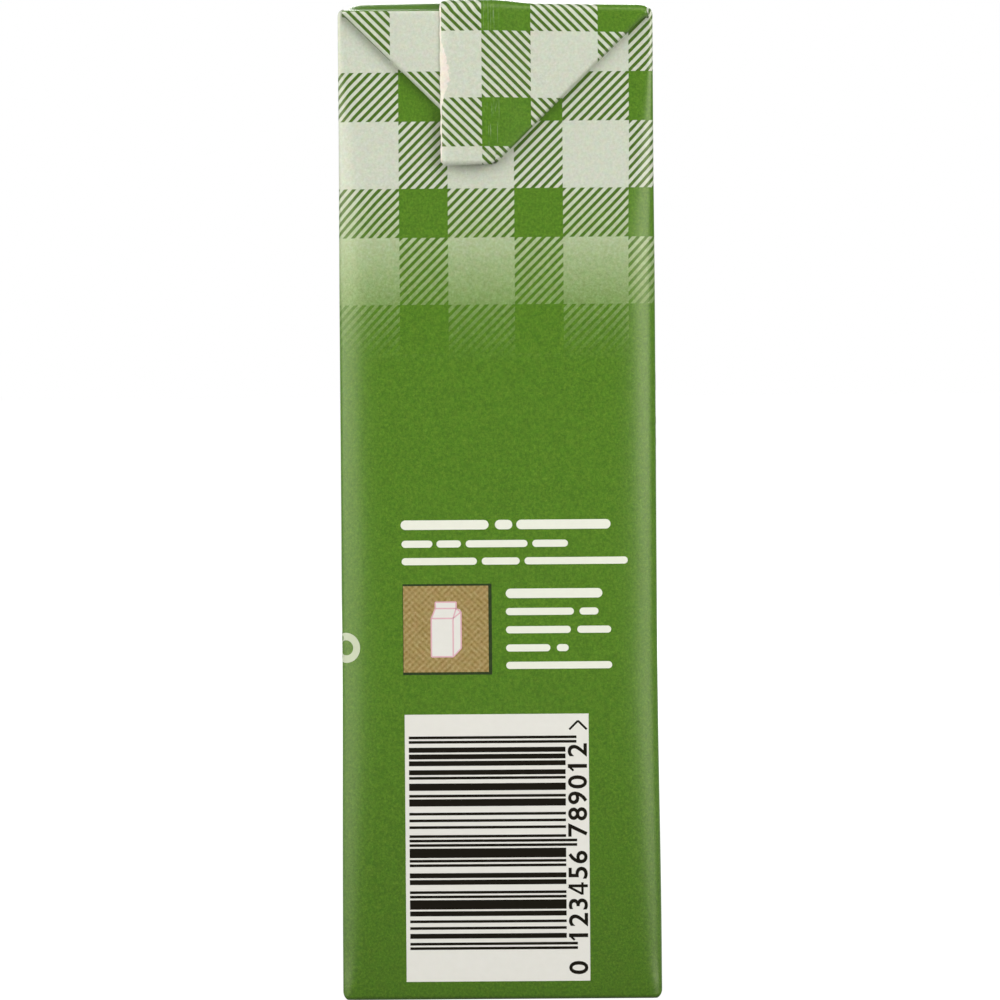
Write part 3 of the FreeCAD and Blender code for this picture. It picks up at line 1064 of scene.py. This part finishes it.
far_middle = loop / 2
far_left = far_middle - 12
far_top = 59.0
far_pitch = 2.6
far_badge_up = 22.0
far_words = [word(far_left, far_middle + 9, 63.0, 1.8)]
for row, end in enumerate([11, 8, 12, 10, 6]):
    far_words += two_words(far_left, far_left + end * 0.8, far_middle + end, far_top - far_pitch * row)
film("far_words", far_words, cream_ink)
film("far_badge", [field(far_left, far_middle + 12, 10.0, 34.0, lift=0.012)], white_ink)
film("far_badge_disc", [disc(far_middle, far_badge_up, 0, 8.6, lift=0.02)], ring_ink)
film("far_badge_rim", [disc(far_middle, far_badge_up, 6.6, 7.0, lift=0.028)], herb_ink)


# ================ the studio
# A pale floor and plain white surroundings, soft lamps at both front sides, above and behind, and a long
# lens at the height of the upper carton. For gloss rays the floor glows brighter in a band beside the lamps,
# so the film mirrors a painted reflection of lamplit floor.

room_light = 0.1
mirrored_white = 0.35
# Painted reflection: how much brighter gloss rays see the floor in a band beside the lamps, where the band
# lies and how fast it fades.
painted_lamp_glow = 0.65
painted_glow_middle = 0.15
painted_glow_steepness = 8.0
floor_grey = (0.14, 0.14, 0.14, 1)
white = (1, 1, 1, 1)


def as_seen(tree, mirrored):
    """1 for what is seen straight or through glass, and the mirrored share for what gloss reflects."""
    paths = tree.nodes.new("ShaderNodeLightPath")
    straight = sums("MAXIMUM", paths.outputs["Is Camera Ray"], paths.outputs["Is Transmission Ray"])
    return sums("MAXIMUM", straight, sums("MULTIPLY", paths.outputs["Is Glossy Ray"], mirrored))


span = 6.0
floor_mesh = bpy.data.meshes.new("floor")
floor_corners = [(-span, -span, 0), (span, -span, 0), (span, span, 0), (-span, span, 0)]
floor_mesh.from_pydata(floor_corners, [], [(0, 1, 2, 3)])
floor = placed("floor", floor_mesh)
floor_paint = bpy.data.materials.new("floor_paint")
floor_paint.use_nodes = True
tree = floor_paint.node_tree
tree.nodes.remove(tree.nodes["Principled BSDF"])
place = tree.nodes.new("ShaderNodeTexCoord").outputs["Object"]
aside = sums("ABSOLUTE", add_node(tree, "ShaderNodeSeparateXYZ", Vector=place).outputs[0])
# Painted reflection: gloss rays see the floor glow brighter in a band about 0.15 m to each side of the
# middle, as if lamplit, though no lamp lights it.
from_painted_glow = sums("ABSOLUTE", sums("SUBTRACT", aside, painted_glow_middle))
painted_glow_band = held(sums("MULTIPLY_ADD", from_painted_glow, -painted_glow_steepness, 1.0))
seen = as_seen(tree, sums("MULTIPLY_ADD", painted_glow_band, painted_lamp_glow, mirrored_white))
paler = held(sums("MULTIPLY_ADD", vector_sums("LENGTH", place)[1], 0.14, 0.93))
matte = add_node(tree, "ShaderNodeBsdfDiffuse", Color=floor_grey)
glow = add_node(tree, "ShaderNodeEmission", Color=white, Strength=sums("MULTIPLY", seen, paler))
both = add_node(tree, "ShaderNodeAddShader", i0=matte.outputs[0], i1=glow.outputs[0])
feed(tree.nodes["Material Output"].inputs["Surface"], both.outputs[0])
floor_mesh.materials.append(floor_paint)

world = bpy.data.worlds.new("room")
bpy.context.scene.world = world
world.use_nodes = True
tree = world.node_tree
around = tree.nodes["Background"]
feed(around.inputs["Strength"], sums("MAXIMUM", as_seen(tree, mirrored_white), room_light))
feed(around.inputs["Color"], white)

lit_place = mathutils.Vector((0, 0, 0.065))


def lamp(name, place, width, depth, power):
    """A soft lamp, turned from its place towards the carton."""
    light = bpy.data.lights.new(name, "AREA")
    light.shape = "RECTANGLE"
    light.size = width
    light.size_y = depth
    light.energy = power
    made = placed(name, light)
    made.location = place
    made.rotation_euler = (lit_place - mathutils.Vector(place)).to_track_quat("-Z", "Y").to_euler()


lamp("left_softbox", (-0.54, -0.263, 0.252), 0.81, 0.5, 4.95)
lamp("right_softbox", (0.453, -0.394, 0.252), 0.4, 0.5, 3.3)
lamp("overhead", (0.12, -0.3, 0.6), 0.3, 0.3, 0.7)
lamp("far_fill", (0.12, 0.85, 0.4), 0.6, 0.4, 7.5)

camera_data = bpy.data.cameras.new("camera")
camera_data.lens = 200
camera_data.clip_start = 0.05
camera = placed("camera", camera_data)
camera_place = mathutils.Vector((0.00017, -0.7312, 0.085))
aim_place = mathutils.Vector((0.00017, -0.0308, 0.0632))
camera_tilt = -0.43
look = (aim_place - camera_place).to_track_quat("-Z", "Y")
camera.location = camera_place
camera.rotation_mode = "QUATERNION"
camera.rotation_quaternion = look @ mathutils.Quaternion((0, 0, 1), np.radians(camera_tilt))
bpy.context.scene.camera = camera
bpy.context.scene.view_settings.view_transform = "Standard"
